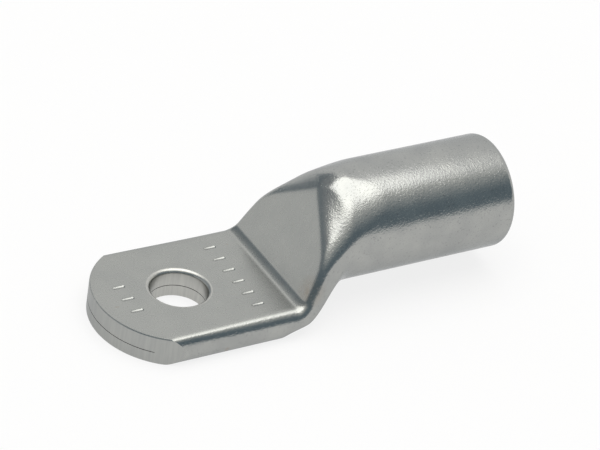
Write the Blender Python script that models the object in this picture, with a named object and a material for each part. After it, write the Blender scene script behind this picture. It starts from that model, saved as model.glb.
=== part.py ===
"""Tubular crimp cable lug: one piece of tinned copper tube, pressed flat into a bolt palm at one end.

Metres. The palm lies on z = 0 and the barrel runs along +X to its open mouth. The origin is the centre of the
underside. The tube keeps its wall all along: the bore runs in from the mouth, closes under the slanting
ramp and goes on through the palm as the seam between the two walls that the press laid on each other.
"""
import math

import bmesh
import bpy
import numpy as np

MM = 0.001

# Tube, as bought
BARREL_DIAMETER = 16.5 * MM
WALL = 2.5 * MM
MOUTH_OUTER_EDGE = 1.0 * MM
MOUTH_INNER_EDGE = 0.35 * MM

# Whole lug
LENGTH = 62.0 * MM
BARREL_AXIS_HEIGHT = 10.1 * MM

# Palm
PALM_WIDTH = 22.4 * MM
PALM_THICKNESS = 4.3 * MM
SIDE_FOLD = 1.35 * MM
SEAM_HEIGHT = 1.75 * MM
SEAM_GAP = 0.1 * MM
TIP_RADIUS = 12.0 * MM
HOLE_DIAMETER = 8.1 * MM
HOLE_TO_TIP = 12.5 * MM
HOLE_ENTRY_RADIUS = 0.6 * MM

# Ramp pressed by the die, the hollow crease at its foot and the bends round its sides and top
HOLE_TO_CREASE = 14.05 * MM
RAMP_ANGLE = math.radians(62.7)
CREASE_RADIUS = 0.9 * MM
SIDE_BEND = 1.45 * MM
TOP_BEND = 3.0 * MM
BORE_BEND = 0.3 * MM

# Shoulders: two flat facets that meet the ramp along a gable, each given by a point low on the gable (up the
# ramp, off the middle), the gable's top in the middle, and the slope at which the facets rise along the lug
GABLE_FOOT = (6.6 * MM, 9.9 * MM)
GABLE_TOP = 17.4 * MM
SHOULDER_RISE = 0.38
SHOULDER_BLEND = 1.6 * MM

# Where the round tube starts and ends its change into the palm, measured from the hole
UNDERSIDE_ROUNDS = (10.9 * MM, 17.0 * MM)
UNDERSIDE_RISES = (12.4 * MM, 19.3 * MM)
SIDES_SPREAD = (13.0 * MM, 24.0 * MM)
WAIST_SINKS = (14.6 * MM, 22.9 * MM)
BEND_TIGHTENS = (15.0 * MM, 17.4 * MM)
BEND_OPENS = (17.6 * MM, 21.6 * MM)

# Stretches of the skin, measured from the hole, and the number of rings in each
RING_RUNS = ((10.4 * MM, 25.4 * MM, 30), (25.4 * MM, 33.0 * MM, 7))
RING_POINTS = 64
RAY_REACH = 2.0
SEAM_RAY_STEEPNESS = 8.0
BISECTIONS = 34
HOLE_SEGMENTS = 48
ENTRY_SEGMENTS = 4
EDGE_SEGMENTS = 4
TIP_SEGMENTS = 40
TRIM_MARGIN = 1.5 * MM
SMOOTH_ANGLE = math.radians(32.0)

TIP_X = -LENGTH / 2
MOUTH_X = LENGTH / 2
HOLE_X = TIP_X + HOLE_TO_TIP
CREASE_X = HOLE_X + HOLE_TO_CREASE
BARREL_RADIUS = BARREL_DIAMETER / 2
SIDE_WALL = PALM_THICKNESS / 2


def ease(x, span):
    """0 before the span (measured from the hole), 1 after it, with a smooth slope between."""
    t = np.clip((x - HOLE_X - span[0]) / (span[1] - span[0]), 0.0, 1.0)
    return t * t * (3.0 - 2.0 * t)


def blend(palm, barrel, amount):
    return palm + (barrel - palm) * amount


def rounded_corner(first, second, first_radius, second_radius):
    """Distance outside two surfaces at once, their corner rounded by a quarter of an ellipse."""
    a = first / first_radius
    b = second / second_radius
    level = np.minimum(np.maximum(a, b), -1.0) + np.hypot(np.maximum(a + 1.0, 0.0), np.maximum(b + 1.0, 0.0))
    return level * min(first_radius, second_radius)


def squashed_tube(x, inner):
    """Half-width, flat half-width below, and heights of underside, waist and top, at each x.

    The inner skin is the outer one moved in by the wall. In the palm its floor and waist close on the seam.
    """
    wall = blend(SIDE_WALL - SEAM_GAP / 2, WALL, ease(x, UNDERSIDE_ROUNDS)) if inner else 0.0
    half_width = blend(PALM_WIDTH / 2, BARREL_RADIUS, ease(x, SIDES_SPREAD)) - wall
    fold = SIDE_WALL if inner else SIDE_FOLD
    flat = blend(PALM_WIDTH / 2 - fold, 0.0, ease(x, UNDERSIDE_ROUNDS))
    floor_start = SEAM_HEIGHT - SEAM_GAP / 2 if inner else 0.0
    waist_start = SEAM_HEIGHT if inner else PALM_THICKNESS / 2
    floor_end = BARREL_AXIS_HEIGHT - BARREL_RADIUS + (WALL if inner else 0.0)
    floor = blend(floor_start, floor_end, ease(x, UNDERSIDE_RISES))
    waist = blend(waist_start, BARREL_AXIS_HEIGHT, ease(x, WAIST_SINKS))
    top = BARREL_AXIS_HEIGHT + BARREL_RADIUS - (WALL if inner else 0.0)
    return half_width, flat, floor, waist, top


def tube_distance(x, y, z, inner):
    """Distance outside the squashed tube: half an ellipse above its waist, two corner arcs below it."""
    half_width, flat, floor, waist, top = squashed_tube(x, inner)
    above = z > waist
    across = np.where(above, half_width, half_width - flat)
    up = np.where(above, top - waist, waist - floor)
    side = np.where(above, np.abs(y), np.maximum(np.abs(y) - flat, 0.0))
    level = np.hypot(side / across, (z - waist) / up)
    steepness = np.hypot(side / across ** 2, (z - waist) / up ** 2)
    return np.where(steepness > 0.0, level * (level - 1.0) / np.maximum(steepness, 1e-9), -across)


def shoulder_distance(x, y, z, inner):
    """Distance above the shoulder facets, which fall away to both sides and stop rising short of the gable."""
    foot_x = CREASE_X + GABLE_FOOT[0] * math.cos(RAMP_ANGLE)
    foot_z = PALM_THICKNESS + GABLE_FOOT[0] * math.sin(RAMP_ANGLE)
    top_x = CREASE_X + GABLE_TOP * math.cos(RAMP_ANGLE)
    top_z = PALM_THICKNESS + GABLE_TOP * math.sin(RAMP_ANGLE)
    fall = (top_z - foot_z - SHOULDER_RISE * (top_x - foot_x)) / GABLE_FOOT[1]
    above = z - top_z - SHOULDER_RISE * (max(x, foot_x) - top_x) + fall * np.abs(y)
    return above / math.sqrt(1.0 + SHOULDER_RISE ** 2 + fall ** 2) + (WALL if inner else 0.0)


def die_distance(x, z, inner):
    """Distance above the pressed face: the palm's top, the ramp, and the hollow arc that joins them."""
    height = SEAM_HEIGHT + SEAM_GAP / 2 if inner else PALM_THICKNESS
    depth = WALL if inner else 0.0
    radius = CREASE_RADIUS + depth
    palm = z - height
    ramp = (z - PALM_THICKNESS) * math.cos(RAMP_ANGLE) - (x - CREASE_X) * math.sin(RAMP_ANGLE) + depth
    return np.maximum(np.minimum(palm, ramp), radius) - np.hypot(
        np.maximum(radius - palm, 0.0), np.maximum(radius - ramp, 0.0))


def bend_radii(x, inner):
    """The bend's reach in from the side and down from the pressed face: the palm's fold, then the ramp's bend."""
    tighten = ease(x, BEND_TIGHTENS)
    if inner:
        bend = blend(SEAM_GAP / 2, BORE_BEND, tighten)
        return bend, bend
    opening = (TOP_BEND - SIDE_BEND) * ease(x, BEND_OPENS)
    return blend(SIDE_FOLD, SIDE_BEND, tighten) + opening, blend(SIDE_WALL, SIDE_BEND, tighten) + opening


def skin_distance(x, y, z, inner):
    """Distance outside the tube cut by the shoulders and the die, with the bends between them rounded."""
    tube = tube_distance(x, y, z, inner)
    shoulder = shoulder_distance(x, y, z, inner)
    body = rounded_corner(tube, shoulder, SHOULDER_BLEND, SHOULDER_BLEND)
    in_from_side, down_from_face = bend_radii(x, inner)
    return rounded_corner(body, die_distance(x, z, inner), in_from_side, down_from_face)


def section_ring(x, inner):
    """One ring of points round the skin at x, each found along a ray from the middle of the section."""
    half_width, _, floor, _, top = squashed_tube(x, inner)
    flat_top = SEAM_HEIGHT + SEAM_GAP / 2 if inner else PALM_THICKNESS
    depth = WALL if inner else 0.0
    ramp = PALM_THICKNESS + ((x - CREASE_X) * math.sin(RAMP_ANGLE) - depth) / math.cos(RAMP_ANGLE)
    roof = min(top, max(flat_top, ramp))
    middle = (roof + floor) / 2
    angles = (np.arange(RING_POINTS) + 0.5) * 2 * math.pi / RING_POINTS
    ray_y = half_width * np.cos(angles)
    steepness = blend(SEAM_RAY_STEEPNESS, 1.0, ease(x, UNDERSIDE_RISES)) if inner else 1.0
    ray_z = (roof - floor) / 2 * steepness * np.sin(angles)
    near = np.zeros(RING_POINTS)
    far = np.full(RING_POINTS, RAY_REACH)
    for _ in range(BISECTIONS):
        half = (near + far) / 2
        inside = skin_distance(x, half * ray_y, middle + half * ray_z, inner) < 0.0
        near = np.where(inside, half, near)
        far = np.where(inside, far, half)
    return [(x, near[i] * ray_y[i], middle + near[i] * ray_z[i]) for i in range(RING_POINTS)]


def round_ring(x, radius):
    """A plain circle about the barrel's axis, its points in step with the section rings."""
    angles = [2 * math.pi * (i + 0.5) / RING_POINTS for i in range(RING_POINTS)]
    return [(x, radius * math.cos(a), BARREL_AXIS_HEIGHT + radius * math.sin(a)) for a in angles]


def skin_rings(inner):
    """Rings from beyond the tip to the straight barrel: close together over the bends, far apart elsewhere."""
    xs = [TIP_X - TRIM_MARGIN]
    for start, end, count in RING_RUNS:
        xs += list(np.linspace(HOLE_X + start, HOLE_X + end, count, endpoint=False))
    xs.append(HOLE_X + RING_RUNS[-1][1])
    return [section_ring(float(x), inner) for x in xs]


def mouth_rings():
    """The barrel's cut end: rounded outer edge, flat face, and a small rounded edge into the bore."""
    bore = BARREL_RADIUS - WALL
    rings = []
    for i in range(EDGE_SEGMENTS + 1):
        a = math.pi / 2 * i / EDGE_SEGMENTS
        x = MOUTH_X - MOUTH_OUTER_EDGE * (1 - math.sin(a))
        rings.append(round_ring(x, BARREL_RADIUS - MOUTH_OUTER_EDGE * (1 - math.cos(a))))
    for i in range(EDGE_SEGMENTS + 1):
        a = math.pi / 2 * i / EDGE_SEGMENTS
        x = MOUTH_X - MOUTH_INNER_EDGE * (1 - math.cos(a))
        rings.append(round_ring(x, bore + MOUTH_INNER_EDGE * (1 - math.sin(a))))
    return rings


def loft(name, rings, closed):
    """Skin over rings of equal count. A closed loft's last ring meets its first, an open one's ends are capped."""
    mesh = bmesh.new()
    points = [[mesh.verts.new(p) for p in ring] for ring in rings]
    count = len(rings[0])
    pairs = list(zip(points, points[1:]))
    if closed:
        pairs.append((points[-1], points[0]))
    else:
        mesh.faces.new(points[0])
        mesh.faces.new(points[-1])
    for low, high in pairs:
        for i in range(count):
            j = (i + 1) % count
            mesh.faces.new((low[i], low[j], high[j], high[i]))
    bmesh.ops.recalc_face_normals(mesh, faces=mesh.faces)
    data = bpy.data.meshes.new(name)
    mesh.to_mesh(data)
    mesh.free()
    data.shade_smooth()
    data.set_sharp_from_angle(angle=SMOOTH_ANGLE)
    thing = bpy.data.objects.new(name, data)
    bpy.context.scene.collection.objects.link(thing)
    return thing


def pressed_tube():
    """Outer skin out to the mouth, round its edge, and back along the bore into the seam."""
    outside = skin_rings(inner=False)
    inside = skin_rings(inner=True)
    return loft("cable_lug", outside + mouth_rings() + inside[::-1], closed=True)


def tip_trim():
    """Everything beyond the arc that the tip is cropped to."""
    centre = TIP_X + TIP_RADIUS
    reach = TIP_RADIUS + TRIM_MARGIN
    back = TIP_X - 2 * TRIM_MARGIN
    outline = []
    for i in range(TIP_SEGMENTS + 1):
        a = math.pi * (i / TIP_SEGMENTS - 0.5)
        outline.append((centre - TIP_RADIUS * math.cos(a), TIP_RADIUS * math.sin(a)))
    outline += [(centre, reach), (back, reach), (back, -reach), (centre, -reach)]
    heights = (-TRIM_MARGIN, PALM_THICKNESS + TRIM_MARGIN)
    return loft("tip_trim", [[(x, y, z) for x, y in outline] for z in heights], closed=False)


def hole_punch():
    """The punch, with the flare that leaves the hole's upper edge rolled in."""
    radius = HOLE_DIAMETER / 2
    flare = HOLE_ENTRY_RADIUS
    profile = [(radius, -TRIM_MARGIN)]
    for i in range(ENTRY_SEGMENTS + 1):
        a = math.pi / 2 * i / ENTRY_SEGMENTS
        profile.append((radius + flare * (1 - math.cos(a)), PALM_THICKNESS - flare * (1 - math.sin(a))))
    profile.append((radius + flare, PALM_THICKNESS + TRIM_MARGIN))
    rings = []
    for r, z in profile:
        angles = [2 * math.pi * i / HOLE_SEGMENTS for i in range(HOLE_SEGMENTS)]
        rings.append([(HOLE_X + r * math.cos(a), r * math.sin(a), z) for a in angles])
    return loft("hole_punch", rings, closed=False)


def cut(body, cutter):
    cutter.hide_render = True
    cutter.display_type = "WIRE"
    step = body.modifiers.new(cutter.name, "BOOLEAN")
    step.operation = "DIFFERENCE"
    step.solver = "EXACT"
    step.object = cutter


def tinned_copper():
    """Matt tin over copper."""
    material = bpy.data.materials.new("tinned_copper")
    material.use_nodes = True
    shader = material.node_tree.nodes["Principled BSDF"]
    shader.inputs["Base Color"].default_value = (0.58, 0.58, 0.55, 1.0)
    shader.inputs["Metallic"].default_value = 1.0
    shader.inputs["Roughness"].default_value = 0.36
    return material


def build():
    for thing in list(bpy.data.objects):
        bpy.data.objects.remove(thing)
    lug = pressed_tube()
    lug.data.materials.append(tinned_copper())
    cut(lug, tip_trim())
    cut(lug, hole_punch())


build()
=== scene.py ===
"""Tubular crimp cable lug in tinned copper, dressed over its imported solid.

Metres, in the solid's own frame: the palm lies on z = 0 and the barrel runs along +X to its open
mouth. The lug is one skin, the same squashed tube as the solid but finer, with rolled edges where
it was cropped and punched. A tube that a die pressed is grainy where only the plating covers it
and smooth where the die bore on it, so the tin finish follows a mark that says how hard each
point was pressed.
"""

import math

import bmesh
import bpy
import numpy as np
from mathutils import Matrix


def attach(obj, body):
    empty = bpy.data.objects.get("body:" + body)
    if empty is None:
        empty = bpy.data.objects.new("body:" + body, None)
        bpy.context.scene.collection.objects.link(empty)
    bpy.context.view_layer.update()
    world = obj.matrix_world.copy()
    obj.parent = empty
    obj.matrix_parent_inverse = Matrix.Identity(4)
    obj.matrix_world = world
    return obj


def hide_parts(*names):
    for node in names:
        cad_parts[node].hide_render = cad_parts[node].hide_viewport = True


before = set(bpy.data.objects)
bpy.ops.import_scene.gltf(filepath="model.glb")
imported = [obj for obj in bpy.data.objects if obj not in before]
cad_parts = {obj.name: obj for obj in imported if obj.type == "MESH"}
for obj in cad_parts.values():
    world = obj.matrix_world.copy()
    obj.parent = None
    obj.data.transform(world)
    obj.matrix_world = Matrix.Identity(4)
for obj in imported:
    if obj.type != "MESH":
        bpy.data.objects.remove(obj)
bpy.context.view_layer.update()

MM = 0.001

# Tube, as bought, and the rounded edges of its mouth
BARREL_DIAMETER = 16.5 * MM
WALL = 2.5 * MM
MOUTH_OUTER_EDGE = 1.0 * MM
MOUTH_INNER_EDGE = 0.35 * MM

# Whole lug
LENGTH = 62.0 * MM
BARREL_AXIS_HEIGHT = 10.1 * MM

# Palm: two walls of the tube pressed on each other. The fold along each side reaches in by
# SIDE_FOLD below, and above by TIP_FOLD towards the tip and CREASE_FOLD towards the crease.
PALM_WIDTH = 22.4 * MM
PALM_THICKNESS = 4.3 * MM
SIDE_FOLD = 1.35 * MM
TIP_FOLD = 1.1 * MM
CREASE_FOLD = 1.5 * MM
SEAM_HEIGHT = 1.75 * MM
SEAM_GAP = 0.1 * MM

# Tip, cropped to an arc: its upper edge is turned down, and each end of the arc has a small round.
# Behind that the cut drifts out from the palm's side by the lead, so that it doesn't graze it.
TIP_RADIUS = 12.0 * MM
TIP_ROLL = 0.4 * MM
TIP_TURN = math.radians(50.0)
TIP_CORNER = 1.1 * MM
TIP_CORNER_LEAD = 0.05 * MM

# Bolt hole, punched from above
HOLE_DIAMETER = 8.1 * MM
HOLE_TO_TIP = 12.5 * MM
HOLE_ENTRY_RADIUS = 0.6 * MM

# Ramp pressed by the die, the hollow crease at its foot and the bends round its sides and top
HOLE_TO_CREASE = 14.05 * MM
RAMP_ANGLE = math.radians(62.7)
CREASE_RADIUS = 0.9 * MM
SIDE_BEND = 1.3 * MM
TOP_BEND = 3.0 * MM
BORE_BEND = 0.3 * MM

# Shoulders: two flat facets that meet the ramp along a gable, each given by a point low on the
# gable (up the ramp, off the middle), the gable's top in the middle, and the slope at which the
# facets rise along the lug
GABLE_FOOT = (6.6 * MM, 9.9 * MM)
GABLE_TOP = 17.4 * MM
SHOULDER_RISE = 0.38
SHOULDER_BLEND = 1.25 * MM

# Where each change along the lug starts and ends, measured from the hole: first the palm's change
# into the round tube, then the upper fold's widening, and last the fold's change into the ramp's
# side bend and that bend's opening to the one at the top
UNDERSIDE_ROUNDS = (10.9 * MM, 17.0 * MM)
UNDERSIDE_RISES = (12.4 * MM, 19.3 * MM)
SIDES_SPREAD = (13.0 * MM, 24.0 * MM)
WAIST_SINKS = (14.6 * MM, 22.9 * MM)
FOLD_SOFTENS = (-7.0 * MM, 10.0 * MM)
BEND_TIGHTENS = (14.0 * MM, 17.4 * MM)
BEND_OPENS = (17.3 * MM, 21.8 * MM)

# Rings along the skin: the points of each, and the runs of rings by start and end, measured from
# the hole, and how many
RING_POINTS = 224
OUTER_RUNS = (
    (-7.03 * MM, 10.4 * MM, 16), (10.4 * MM, 13.2 * MM, 14), (13.2 * MM, 14.6 * MM, 26),
    (14.6 * MM, 25.4 * MM, 62), (25.4 * MM, 33.0 * MM, 24))
BORE_RUNS = ((10.4 * MM, 25.4 * MM, 26), (25.4 * MM, 33.0 * MM, 6))

# Rays that find each ring's points: their reach, in halves of the section, how much steeper they
# fan out in the flat seam, how often each is halved, and the least slope to divide by
RAY_REACH = 2.0
SEAM_RAY_STEEPNESS = 8.0
BISECTIONS = 34
LEAST_STEEPNESS = 1e-9

# Steps round the mouth, the cutters and their edges, and how far a cutter stands clear of its work
HOLE_SEGMENTS = 144
ENTRY_SEGMENTS = 8
MOUTH_SEGMENTS = 8
TIP_SEGMENTS = 160
CORNER_SEGMENTS = 12
TRIM_MARGIN = 1.5 * MM

# The finish: where an edge shades sharp, and how near the die's face counts as pressed
SMOOTH_ANGLE = math.radians(22.0)
PRESSED_DEPTH = 0.12 * MM

TIP_X = -LENGTH / 2
MOUTH_X = LENGTH / 2
HOLE_X = TIP_X + HOLE_TO_TIP
CREASE_X = HOLE_X + HOLE_TO_CREASE
BARREL_RADIUS = BARREL_DIAMETER / 2
FOLD_DEPTH = PALM_THICKNESS / 2

# Camera: place in metres, turns about X, Y and Z in degrees, lens and sensor width in millimetres
CAMERA_PLACE = (-0.213324, -0.301504, 0.261419)
CAMERA_TURN = (55.45659, -7.86073, -29.88509)
CAMERA_LENS = 192.0
CAMERA_SENSOR = 36.0

# Plain ticks stamped in the palm in even rows across it: distance from the hole, how many, and
# how far apart
TICK_ROWS = ((8.6 * MM, 6, 2.8 * MM), (-8.0 * MM, 3, 2.8 * MM))
TICK_LENGTH = 2.0 * MM
TICK_WIDTH = 0.6 * MM
TICK_DEPTH = 0.13 * MM
TICK_SEGMENTS = 24
TICK_END_STEPS = 6

# Colours of the tin
TIN_LIGHT = (0.385, 0.391, 0.374, 1.0)
TIN_DARK = (0.345, 0.352, 0.341, 1.0)
TIN_PRESSED = (0.335, 0.342, 0.325, 1.0)
TIN_EDGE = (0.72, 0.73, 0.74, 1.0)
# Streak tones of the punched hole's wall: the same tin painted brighter than elsewhere, a painted
# highlight over the whole wall
PUNCHED_LIGHT_PAINTED_BRIGHTER = (0.480, 0.480, 0.452, 1.0)
PUNCHED_DARK_PAINTED_BRIGHTER = (0.418, 0.418, 0.398, 1.0)
SPECK = (0.120, 0.125, 0.128, 1.0)
STAIN = (0.250, 0.170, 0.100, 1.0)

# Finish of the skin. A scale is a noise's size per metre, a range is the part of the noise over
# which its mark comes in, heights are in units of the relief, and a pair says how much there is on
# the free skin and on the pressed skin.
RELIEF = 0.00002
GRAIN_SCALE = 3300.0
GRAIN_HEIGHT = 1.1
PIT_SCALE = 3600.0
PIT_RANGE = (0.60, 0.70)
PIT_HEIGHT = -0.35
GRAIN_LEFT = (1.0, 0.03)
WAVE_SCALE = 380.0
WAVE_HEIGHT = (0.8, 0.35)
TONE_SCALE = 260.0
TONE_RANGE = (0.35, 0.65)
TONE_PRESSED = (0.0, 0.6)
SPECK_SCALE = 3300.0
SPECK_RANGE = (0.60, 0.72)
SPECK_STRENGTH = 0.35
STAIN_SCALE = 520.0
STAIN_RANGE = (0.70, 0.80)
STAIN_STRENGTH = 0.45
ROUGHNESS = (0.135, 0.25)
CLOUD_SCALE = 900.0
CLOUD_ROUGHNESS = (0.12, 0.05)

# Brown stain at the ramp's near foot
FOOT_STAIN_PLACE = (-3.3 * MM, -9.3 * MM, 6.4 * MM)
FOOT_STAIN_REACH = 2.6 * MM
FOOT_STAIN_SCALE = 900.0
FOOT_STAIN_STRENGTH = 0.6

# Finish of the sheared faces: upright streaks, drawn out by squeezing the noise's height, and grain
SHEAR_RELIEF = 0.000005
SHEAR_ROUGHNESS = 0.3
STREAK_SCALE = 2600.0
STREAK_SQUEEZE = (1.0, 1.0, 0.06)
SHEAR_GRAIN_SCALE = 4200.0
SHEAR_GRAIN_HEIGHT = 0.35

# Studio: ambient light, an overhead softbox, and a paper floor with a share of plain white where
# it is seen
WHITE = (1.0, 1.0, 1.0, 1.0)
AMBIENT = 0.55
SOFTBOX_PLACE = (0.03, 0.03, 0.8)
SOFTBOX_RADIUS = 0.475
SOFTBOX_CENTRE = 0.001
SOFTBOX_SEGMENTS = 64
SOFTBOX_COLOUR = (1.0, 0.99, 0.965, 1.0)
SOFTBOX_STRENGTH = 2.75
FLOOR_SIZE = 4.0
FLOOR_PAPER = (0.86, 0.86, 0.86, 1.0)
FLOOR_WHITE = 0.8

# Dim walls round the lug, whose feet stand above the floor's edge. Their glow changes between two
# heights. Each wall has a name, its span in degrees, its foot's height, and its glow low and high.
WALL_RADIUS = 0.9
WALL_TOP = 1.65
WALL_STEPS = 32
GLOW_CHANGES = (0.5, 1.3)
FRONT_GLOW = ((0.207, 0.264, 0.306, 1.0), (0.90, 0.90, 0.87, 1.0))
BACK_GLOW = ((0.30, 0.345, 0.38, 1.0), (0.50, 0.51, 0.52, 1.0))
STUDIO_WALLS = (
    ("front_wall", (184.0, 340.0), 0.05, FRONT_GLOW),
    ("back_wall", (120.0, 184.0), 0.24, BACK_GLOW),
    ("side_wall", (86.0, 120.0), 0.09, BACK_GLOW))


def ease(x, span):
    """0 before the span (measured from the hole), 1 after it, with a smooth slope between."""
    t = np.clip((x - HOLE_X - span[0]) / (span[1] - span[0]), 0.0, 1.0)
    return t * t * (3.0 - 2.0 * t)


def blend(first, second, amount):
    """The first value where the amount is 0, the second where it is 1."""
    return first + (second - first) * amount


def around(count, shift=0.0):
    """Angles of evenly spaced points round a circle, all moved on by a shift in steps."""
    return [2 * math.pi * (i + shift) / count for i in range(count)]


def rounded_corner(first, second, first_radius, second_radius):
    """Distance outside two surfaces at once, their corner rounded by a quarter of an ellipse."""
    a = first / first_radius
    b = second / second_radius
    corner = np.hypot(np.maximum(a + 1.0, 0.0), np.maximum(b + 1.0, 0.0))
    level = np.minimum(np.maximum(a, b), -1.0) + corner
    return level * min(first_radius, second_radius)


def squashed_tube(x, inner):
    """Half-width, flat half-width below, and heights of underside, waist and top, at each x.

    The inner skin is the outer one moved in by the wall. In the palm its floor and waist close on
    the seam.
    """
    rounds = ease(x, UNDERSIDE_ROUNDS)
    wall = blend(FOLD_DEPTH - SEAM_GAP / 2, WALL, rounds) if inner else 0.0
    half_width = blend(PALM_WIDTH / 2, BARREL_RADIUS, ease(x, SIDES_SPREAD)) - wall
    fold = FOLD_DEPTH if inner else SIDE_FOLD
    flat = blend(PALM_WIDTH / 2 - fold, 0.0, rounds)
    floor_start = SEAM_HEIGHT - SEAM_GAP / 2 if inner else 0.0
    waist_start = SEAM_HEIGHT if inner else FOLD_DEPTH
    depth = WALL if inner else 0.0
    floor_end = BARREL_AXIS_HEIGHT - BARREL_RADIUS + depth
    floor = blend(floor_start, floor_end, ease(x, UNDERSIDE_RISES))
    waist = blend(waist_start, BARREL_AXIS_HEIGHT, ease(x, WAIST_SINKS))
    top = BARREL_AXIS_HEIGHT + BARREL_RADIUS - depth
    return half_width, flat, floor, waist, top


def tube_distance(x, y, z, inner):
    """Distance outside the squashed tube: half an ellipse above its waist, two arcs below it."""
    half_width, flat, floor, waist, top = squashed_tube(x, inner)
    above = z > waist
    across = np.where(above, half_width, half_width - flat)
    up = np.where(above, top - waist, waist - floor)
    side = np.where(above, np.abs(y), np.maximum(np.abs(y) - flat, 0.0))
    level = np.hypot(side / across, (z - waist) / up)
    steepness = np.hypot(side / across ** 2, (z - waist) / up ** 2)
    distance = level * (level - 1.0) / np.maximum(steepness, LEAST_STEEPNESS)
    return np.where(steepness > 0.0, distance, -across)


def shoulder_distance(x, y, z, inner):
    """Distance above the shoulder facets, which fall away to both sides.

    They rise along the lug from the foot of the gable, and are level before it.
    """
    foot_x = CREASE_X + GABLE_FOOT[0] * math.cos(RAMP_ANGLE)
    foot_z = PALM_THICKNESS + GABLE_FOOT[0] * math.sin(RAMP_ANGLE)
    top_x = CREASE_X + GABLE_TOP * math.cos(RAMP_ANGLE)
    top_z = PALM_THICKNESS + GABLE_TOP * math.sin(RAMP_ANGLE)
    fall = (top_z - foot_z - SHOULDER_RISE * (top_x - foot_x)) / GABLE_FOOT[1]
    above = z - top_z - SHOULDER_RISE * (max(x, foot_x) - top_x) + fall * np.abs(y)
    depth = WALL if inner else 0.0
    return above / math.sqrt(1.0 + SHOULDER_RISE ** 2 + fall ** 2) + depth


def pressed_height(inner):
    """Height of the palm's pressed face: its top outside, the top of the seam inside."""
    return SEAM_HEIGHT + SEAM_GAP / 2 if inner else PALM_THICKNESS


def die_distance(x, z, inner):
    """Distance above the pressed face: the palm's top, the ramp, and the arc that joins them."""
    depth = WALL if inner else 0.0
    radius = CREASE_RADIUS + depth
    palm = z - pressed_height(inner)
    rise = (z - PALM_THICKNESS) * math.cos(RAMP_ANGLE)
    ramp = rise - (x - CREASE_X) * math.sin(RAMP_ANGLE) + depth
    return np.maximum(np.minimum(palm, ramp), radius) - np.hypot(
        np.maximum(radius - palm, 0.0), np.maximum(radius - ramp, 0.0))


def bend_radii(x, inner):
    """The bend's reach in from the side and down from the pressed face.

    Along the palm it is the upper fold, then it tightens to the ramp's side bend and opens again.
    """
    tighten = ease(x, BEND_TIGHTENS)
    if inner:
        bend = blend(SEAM_GAP / 2, BORE_BEND, tighten)
        return bend, bend
    opening = (TOP_BEND - SIDE_BEND) * ease(x, BEND_OPENS)
    fold = blend(TIP_FOLD, CREASE_FOLD, ease(x, FOLD_SOFTENS))
    in_from_side = blend(fold, SIDE_BEND, tighten) + opening
    down_from_face = blend(FOLD_DEPTH, SIDE_BEND, tighten) + opening
    return in_from_side, down_from_face


def skin_distance(x, y, z, inner):
    """Distance outside the tube cut by the shoulders and the die, with rounded bends between."""
    tube = tube_distance(x, y, z, inner)
    shoulder = shoulder_distance(x, y, z, inner)
    body = rounded_corner(tube, shoulder, SHOULDER_BLEND, SHOULDER_BLEND)
    in_from_side, down_from_face = bend_radii(x, inner)
    return rounded_corner(body, die_distance(x, z, inner), in_from_side, down_from_face)


def section_ring(x, inner):
    """One ring of points round the skin at x, found along rays from the section's middle."""
    half_width, _, floor, _, top = squashed_tube(x, inner)
    depth = WALL if inner else 0.0
    rise = (x - CREASE_X) * math.sin(RAMP_ANGLE) - depth
    ramp = PALM_THICKNESS + rise / math.cos(RAMP_ANGLE)
    roof = min(top, max(pressed_height(inner), ramp))
    middle = (roof + floor) / 2
    angles = (np.arange(RING_POINTS) + 0.5) * 2 * math.pi / RING_POINTS
    ray_y = half_width * np.cos(angles)
    steepness = blend(SEAM_RAY_STEEPNESS, 1.0, ease(x, UNDERSIDE_RISES)) if inner else 1.0
    ray_z = (roof - floor) / 2 * steepness * np.sin(angles)
    near = np.zeros(RING_POINTS)
    far = np.full(RING_POINTS, RAY_REACH)
    for _ in range(BISECTIONS):
        half = (near + far) / 2
        inside = skin_distance(x, half * ray_y, middle + half * ray_z, inner) < 0.0
        near = np.where(inside, half, near)
        far = np.where(inside, far, half)
    return [(x, near[i] * ray_y[i], middle + near[i] * ray_z[i]) for i in range(RING_POINTS)]


def round_ring(x, radius):
    """A plain circle about the barrel's axis, its points in step with the section rings."""
    return [
        (x, radius * math.cos(a), BARREL_AXIS_HEIGHT + radius * math.sin(a))
        for a in around(RING_POINTS, 0.5)]


def skin_rings(inner):
    """Rings from beyond the tip to the straight barrel: close together over the bends."""
    runs = BORE_RUNS if inner else OUTER_RUNS
    xs = [TIP_X - TRIM_MARGIN]
    for start, end, count in runs:
        xs += list(np.linspace(HOLE_X + start, HOLE_X + end, count, endpoint=False))
    xs.append(HOLE_X + runs[-1][1])
    return [section_ring(float(x), inner) for x in xs]


def mouth_rings():
    """The barrel's cut end: rounded outer edge, flat face, and a small round into the bore."""
    bore = BARREL_RADIUS - WALL
    quarter = [math.pi / 2 * i / MOUTH_SEGMENTS for i in range(MOUTH_SEGMENTS + 1)]
    outer = [
        round_ring(MOUTH_X - MOUTH_OUTER_EDGE * (1 - math.sin(a)),
                   BARREL_RADIUS - MOUTH_OUTER_EDGE * (1 - math.cos(a)))
        for a in quarter]
    inner = [
        round_ring(MOUTH_X - MOUTH_INNER_EDGE * (1 - math.cos(a)),
                   bore + MOUTH_INNER_EDGE * (1 - math.sin(a)))
        for a in quarter]
    return outer + inner


def add_points(mesh, rings):
    return [[mesh.verts.new(p) for p in ring] for ring in rings]


def join_rings(mesh, low, high, all_round):
    """Faces between two rings of points, with or without the one from the last to the first."""
    for i in range(len(low) if all_round else len(low) - 1):
        j = (i + 1) % len(low)
        mesh.faces.new((low[i], low[j], high[j], high[i]))


def skin_over(mesh, rings, closed):
    """Skin over rings of equal count: closed on itself, or with a cap at each end."""
    points = add_points(mesh, rings)
    pairs = list(zip(points, points[1:]))
    if closed:
        pairs.append((points[-1], points[0]))
    else:
        mesh.faces.new(points[0])
        mesh.faces.new(points[-1])
    for low, high in pairs:
        join_rings(mesh, low, high, all_round=True)


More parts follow.
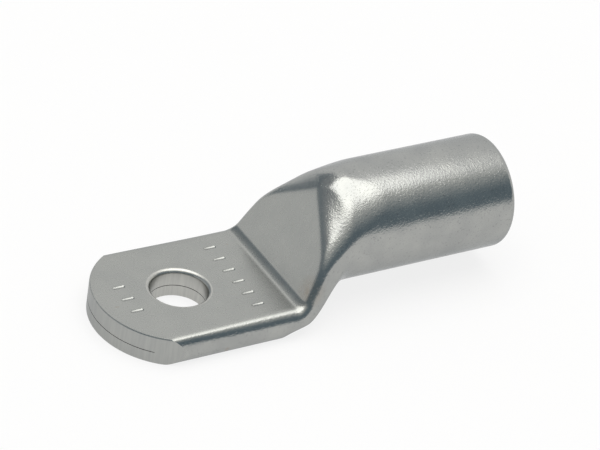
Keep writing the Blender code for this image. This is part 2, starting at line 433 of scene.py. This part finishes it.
def as_object(name, mesh):
    """A scene object from the finished mesh."""
    data = bpy.data.meshes.new(name)
    mesh.to_mesh(data)
    mesh.free()
    thing = bpy.data.objects.new(name, data)
    bpy.context.scene.collection.objects.link(thing)
    return thing


def as_solid(name, mesh):
    """A scene object from the finished closed mesh, its faces turned outwards."""
    bmesh.ops.recalc_face_normals(mesh, faces=mesh.faces)
    return as_object(name, mesh)


def loft(name, rings, closed):
    """A solid object skinned over rings."""
    mesh = bmesh.new()
    skin_over(mesh, rings, closed)
    return as_solid(name, mesh)


def pressed_tube():
    """Outer skin out to the mouth, round its edge, and back along the bore into the seam."""
    outside = skin_rings(inner=False)
    inside = skin_rings(inner=True)
    return loft("lug_skin", outside + mouth_rings() + inside[::-1], closed=True)


def rolled_edge(radius, turn):
    """A cutter's steps as (offset, height), up to the flare that rolls the upper edge in."""
    steps = [(0.0, -TRIM_MARGIN)]
    for i in range(ENTRY_SEGMENTS + 1):
        a = turn * i / ENTRY_SEGMENTS
        height = PALM_THICKNESS - radius * (math.sin(turn) - math.sin(a))
        steps.append((radius * (1 - math.cos(a)), height))
    steps.append((steps[-1][0], PALM_THICKNESS + TRIM_MARGIN))
    return steps


def tip_outline(inset):
    """The cropped tip seen from above: its arc, with a small round into the side at each end."""
    radius = TIP_RADIUS - inset
    corner = TIP_CORNER - inset
    side = PALM_WIDTH / 2 - inset
    centre = TIP_X + TIP_RADIUS
    end = math.asin((side - corner) / (radius - corner))
    corner_x = centre - (radius - corner) * math.cos(end)
    half = []
    for i in range(TIP_SEGMENTS // 2 + 1):
        a = end * 2 * i / TIP_SEGMENTS
        half.append((centre - radius * math.cos(a), radius * math.sin(a)))
    for i in range(1, CORNER_SEGMENTS + 1):
        a = end + (math.pi / 2 - end) * i / CORNER_SEGMENTS
        half.append((corner_x - corner * math.cos(a), side - corner + corner * math.sin(a)))
    half.append((centre, side + inset + TIP_CORNER_LEAD))
    return [(x, -y) for x, y in half[:0:-1]] + half


def tip_trim():
    """Everything beyond the arc that the tip is cropped to."""
    centre = TIP_X + TIP_RADIUS
    reach = TIP_RADIUS + TRIM_MARGIN
    back = TIP_X - 2 * TRIM_MARGIN
    rings = []
    for inset, z in rolled_edge(TIP_ROLL, TIP_TURN):
        outline = tip_outline(inset)
        outline += [(centre, reach), (back, reach), (back, -reach), (centre, -reach)]
        rings.append([(x, y, z) for x, y in outline])
    return loft("tip_trim", rings, closed=False)


def hole_punch():
    """The punch, with the flare that leaves the hole's upper edge rolled in."""
    rings = []
    for inset, z in rolled_edge(HOLE_ENTRY_RADIUS, math.pi / 2):
        r = HOLE_DIAMETER / 2 + inset
        rings.append([
            (HOLE_X + r * math.cos(a), r * math.sin(a), z) for a in around(HOLE_SEGMENTS)])
    return loft("hole_punch", rings, closed=False)


def tick_rings(x, y):
    """Rings of a round bar with round ends along the lug, sunk into the palm by a tick's depth."""
    bar = (TICK_WIDTH ** 2 / 4 + TICK_DEPTH ** 2) / (2 * TICK_DEPTH)
    middle = PALM_THICKNESS - TICK_DEPTH + bar
    rings = []
    for end in (-1, 1):
        for i in range(TICK_END_STEPS):
            turn = i if end > 0 else TICK_END_STEPS - 1 - i
            a = math.pi / 2 * turn / TICK_END_STEPS
            at = x + end * ((TICK_LENGTH - TICK_WIDTH) / 2 + bar * math.sin(a))
            r = bar * math.cos(a)
            rings.append([
                (at, y + r * math.cos(b), middle + r * math.sin(b)) for b in around(TICK_SEGMENTS)])
    return rings


def tick_marks():
    """One cutter for all the ticks."""
    mesh = bmesh.new()
    for distance, count, spacing in TICK_ROWS:
        for i in range(count):
            y = spacing * (i - (count - 1) / 2)
            skin_over(mesh, tick_rings(HOLE_X + distance, y), closed=False)
    return as_solid("tick_marks", mesh)


def cut(body, cutter):
    """Take the cutter's shape out of the body for good. New faces keep the cutter's finish."""
    step = body.modifiers.new(cutter.name, "BOOLEAN")
    step.operation = "DIFFERENCE"
    step.solver = "EXACT"
    step.material_mode = "TRANSFER"
    step.object = cutter
    evaluated = body.evaluated_get(bpy.context.evaluated_depsgraph_get())
    shaped = bpy.data.meshes.new_from_object(evaluated)
    body.modifiers.clear()
    body.data = shaped
    bpy.data.objects.remove(cutter)


def mark_pressed(body):
    """How hard the die bore on each point: 1 where its face lay, 0 on the free skin."""
    co = np.zeros(len(body.data.vertices) * 3)
    body.data.vertices.foreach_get("co", co)
    x, _, z = co.reshape(-1, 3).T
    pressed = np.exp(-(die_distance(x, z, inner=False) / PRESSED_DEPTH) ** 2)
    mark = body.data.attributes.new("pressed", "FLOAT", "POINT")
    mark.data.foreach_set("value", pressed.astype(np.float32))


class Nodes:
    """Short hand for building a node tree."""

    ALL = (0.0, 1.0)
    # Sockets of the Mix node that its colours use
    MIX_FIRST = 6
    MIX_SECOND = 7
    MIX_RESULT = 2

    def __init__(self, tree):
        self.tree = tree
        tree.nodes.clear()

    def add(self, kind, inputs=(), **settings):
        """A node. An input that is a socket is linked, and any other is a value."""
        node = self.tree.nodes.new(kind)
        for key, value in settings.items():
            setattr(node, key, value)
        for key, value in dict(inputs).items():
            if isinstance(value, bpy.types.NodeSocket):
                self.tree.links.new(value, node.inputs[key])
            else:
                node.inputs[key].default_value = value
        return node

    def place(self):
        """Where a point is on its object, in metres."""
        return self.add("ShaderNodeTexCoord").outputs["Object"]

    def noise(self, where, scale, detail, roughness=0.55):
        inputs = {"Vector": where, "Scale": scale, "Detail": detail, "Roughness": roughness}
        return self.add("ShaderNodeTexNoise", inputs).outputs["Fac"]

    def remap(self, value, span, result):
        """The value carried over from a span (low, high) to a result (low, high)."""
        inputs = {"Value": value, "From Min": span[0], "From Max": span[1],
                  "To Min": result[0], "To Max": result[1]}
        return self.add("ShaderNodeMapRange", inputs).outputs["Result"]

    def mix(self, factor, first, second):
        inputs = {0: factor, self.MIX_FIRST: first, self.MIX_SECOND: second}
        return self.add("ShaderNodeMix", inputs, data_type="RGBA").outputs[self.MIX_RESULT]

    def math(self, operation, first, second):
        inputs = {0: first, 1: second}
        return self.add("ShaderNodeMath", inputs, operation=operation).outputs[0]

    def surface(self, shader):
        self.add("ShaderNodeOutputMaterial", {"Surface": shader.outputs[0]})

    def metal(self, colour, roughness, height, relief):
        """A metal surface, its height in units of the relief, which is in metres."""
        inputs = {"Strength": 1.0, "Distance": relief, "Height": height}
        bump = self.add("ShaderNodeBump", inputs).outputs["Normal"]
        self.surface(self.add("ShaderNodeBsdfPrincipled", {
            "Base Color": colour, "Metallic": 1.0, "Roughness": roughness,
            "Specular Tint": TIN_EDGE, "Normal": bump}))

    def glow(self, colour, strength):
        self.surface(self.add("ShaderNodeEmission", {"Color": colour, "Strength": strength}))


def new_material(name):
    """An empty material, and its nodes to build on."""
    material = bpy.data.materials.new(name)
    material.use_nodes = True
    return material, Nodes(material.node_tree)


def tin_skin():
    """Matt tin: grainy and pitted on the free tube, smoothed to a satin where the die pressed."""
    material, n = new_material("tin_skin")
    where = n.place()
    pressed = n.add("ShaderNodeAttribute", attribute_name="pressed").outputs["Fac"]
    grain = n.math("MULTIPLY", n.noise(where, GRAIN_SCALE, 2.0, 0.6), GRAIN_HEIGHT)
    pits = n.remap(n.noise(where, PIT_SCALE, 1.0), PIT_RANGE, (0.0, PIT_HEIGHT))
    left = n.remap(pressed, n.ALL, GRAIN_LEFT)
    rough = n.math("MULTIPLY", n.math("ADD", grain, pits), left)
    wave_height = n.remap(pressed, n.ALL, WAVE_HEIGHT)
    waves = n.math("MULTIPLY", n.noise(where, WAVE_SCALE, 2.0), wave_height)
    height = n.math("ADD", rough, waves)

    patches = n.remap(n.noise(where, TONE_SCALE, 2.0, 0.5), TONE_RANGE, n.ALL)
    tone = n.mix(patches, TIN_DARK, TIN_LIGHT)
    tone = n.mix(n.remap(pressed, n.ALL, TONE_PRESSED), tone, TIN_PRESSED)
    specks = n.remap(n.noise(where, SPECK_SCALE, 2.0), SPECK_RANGE, (0.0, SPECK_STRENGTH))
    tone = n.mix(n.math("MULTIPLY", specks, left), tone, SPECK)
    from_foot = {0: where, 1: FOOT_STAIN_PLACE}
    away = n.add("ShaderNodeVectorMath", from_foot, operation="DISTANCE").outputs["Value"]
    fading = n.remap(away, (0.0, FOOT_STAIN_REACH), (FOOT_STAIN_STRENGTH, 0.0))
    foot = n.math("MULTIPLY", fading, n.noise(where, FOOT_STAIN_SCALE, 2.0))
    spots = n.remap(n.noise(where, STAIN_SCALE, 3.0, 0.6), STAIN_RANGE, (0.0, STAIN_STRENGTH))
    colour = n.mix(n.math("MAXIMUM", foot, spots), tone, STAIN)

    cloudy = n.remap(pressed, n.ALL, CLOUD_ROUGHNESS)
    clouds = n.math("MULTIPLY", n.noise(where, CLOUD_SCALE, 3.0), cloudy)
    roughness = n.math("ADD", n.remap(pressed, n.ALL, ROUGHNESS), clouds)
    n.metal(colour, roughness, height, RELIEF)
    return material


def tin_cut_face(name, dark, light):
    """Tin over a sheared face, with the fine upright streaks that blade and punch leave."""
    material, n = new_material(name)
    where = n.place()
    squeezed = {"Vector": where, "Scale": STREAK_SQUEEZE}
    upright = n.add("ShaderNodeMapping", squeezed).outputs["Vector"]
    streaks = n.noise(upright, STREAK_SCALE, 3.0, 0.6)
    grain = n.math("MULTIPLY", n.noise(where, SHEAR_GRAIN_SCALE, 2.0), SHEAR_GRAIN_HEIGHT)
    tone = n.mix(n.remap(streaks, TONE_RANGE, n.ALL), dark, light)
    n.metal(tone, SHEAR_ROUGHNESS, n.math("ADD", streaks, grain), SHEAR_RELIEF)
    return material


def seen_ray(n):
    """1 for a ray whose surroundings are seen: from the camera, mirrored or through glass."""
    path = n.add("ShaderNodeLightPath").outputs
    seen = n.math("MAXIMUM", path["Is Camera Ray"], path["Is Glossy Ray"])
    return n.math("MAXIMUM", seen, path["Is Transmission Ray"])


def make_lug():
    """The whole lug as one piece: pressed, cropped, punched and stamped."""
    skin = tin_skin()
    cropped = tin_cut_face("tin_cropped", TIN_DARK, TIN_LIGHT)
    # The hole's wall takes the brighter streak tones: painted light on the same tin
    punched = tin_cut_face("tin_punched_painted_brighter", PUNCHED_DARK_PAINTED_BRIGHTER, PUNCHED_LIGHT_PAINTED_BRIGHTER)
    lug = pressed_tube()
    lug.data.materials.append(skin)
    for cutter, finish in ((tip_trim(), cropped), (hole_punch(), punched), (tick_marks(), skin)):
        cutter.data.materials.append(finish)
        cut(lug, cutter)
    mark_pressed(lug)
    lug.data.shade_smooth()
    lug.data.set_sharp_from_angle(angle=SMOOTH_ANGLE)
    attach(lug, "root")
    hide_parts("cable_lug")


def make_camera():
    data = bpy.data.cameras.new("camera")
    data.lens = CAMERA_LENS
    data.sensor_width = CAMERA_SENSOR
    camera = bpy.data.objects.new("camera", data)
    camera.location = CAMERA_PLACE
    camera.rotation_euler = [math.radians(a) for a in CAMERA_TURN]
    bpy.context.scene.collection.objects.link(camera)
    bpy.context.scene.camera = camera


def make_world():
    """Plain white all round where it is seen, and a milder white that lights the floor."""
    world = bpy.data.worlds.new("studio")
    world.use_nodes = True
    bpy.context.scene.world = world
    n = Nodes(world.node_tree)
    lighting = n.add("ShaderNodeBackground", {"Color": WHITE, "Strength": AMBIENT})
    shown = n.add("ShaderNodeBackground", {"Color": WHITE, "Strength": 1.0})
    both = n.add("ShaderNodeMixShader", {
        0: seen_ray(n), 1: lighting.outputs[0], 2: shown.outputs[0]})
    n.add("ShaderNodeOutputWorld", {"Surface": both.outputs[0]})


def stage_piece(name, rings, all_round):
    """A wall, light or floor sheet through rows of points."""
    mesh = bmesh.new()
    rows = add_points(mesh, rings)
    for low, high in zip(rows, rows[1:]):
        join_rings(mesh, low, high, all_round)
    thing = as_object(name, mesh)
    return thing


def make_floor():
    """Plain white floor that keeps the lug's shadow."""
    h = FLOOR_SIZE / 2
    rows = [[(-h, -h, 0.0), (h, -h, 0.0)], [(-h, h, 0.0), (h, h, 0.0)]]
    floor = stage_piece("floor", rows, all_round=False)
    material, n = new_material("floor")
    paper = n.add("ShaderNodeBsdfDiffuse", {"Color": FLOOR_PAPER})
    white = n.add("ShaderNodeEmission", {"Color": WHITE, "Strength": 1.0})
    share = n.math("MULTIPLY", seen_ray(n), FLOOR_WHITE)
    n.surface(n.add("ShaderNodeMixShader", {0: share, 1: paper.outputs[0], 2: white.outputs[0]}))
    floor.data.materials.append(material)


def make_studio_wall(name, span, foot, glow):
    """A stretch of the dim room round the lug, which only the metal's reflections show."""
    start, end = span
    angles = [math.radians(start + (end - start) * i / WALL_STEPS) for i in range(WALL_STEPS + 1)]
    rings = [
        [(WALL_RADIUS * math.cos(a), WALL_RADIUS * math.sin(a), z) for a in angles]
        for z in (foot, WALL_TOP)]
    wall = stage_piece(name, rings, all_round=False)
    wall.visible_camera = False
    wall.visible_diffuse = False
    wall.visible_shadow = False
    wall.visible_transmission = False
    material, n = new_material(name)
    height = n.add("ShaderNodeSeparateXYZ", {"Vector": n.place()}).outputs["Z"]
    n.glow(n.mix(n.remap(height, GLOW_CHANGES, n.ALL), *glow), 1.0)
    wall.data.materials.append(material)


def make_softbox():
    """One round softbox overhead."""
    x, y, z = SOFTBOX_PLACE
    rings = [
        [(x + r * math.cos(a), y + r * math.sin(a), z) for a in around(SOFTBOX_SEGMENTS)]
        for r in (SOFTBOX_RADIUS, SOFTBOX_CENTRE)]
    box = stage_piece("softbox", rings, all_round=True)
    box.visible_camera = False
    material, n = new_material("softbox")
    n.glow(SOFTBOX_COLOUR, SOFTBOX_STRENGTH)
    box.data.materials.append(material)


make_camera()
make_lug()
make_world()
make_floor()
for studio_wall in STUDIO_WALLS:
    make_studio_wall(*studio_wall)
make_softbox()

bpy.context.scene.view_settings.view_transform = "Standard"
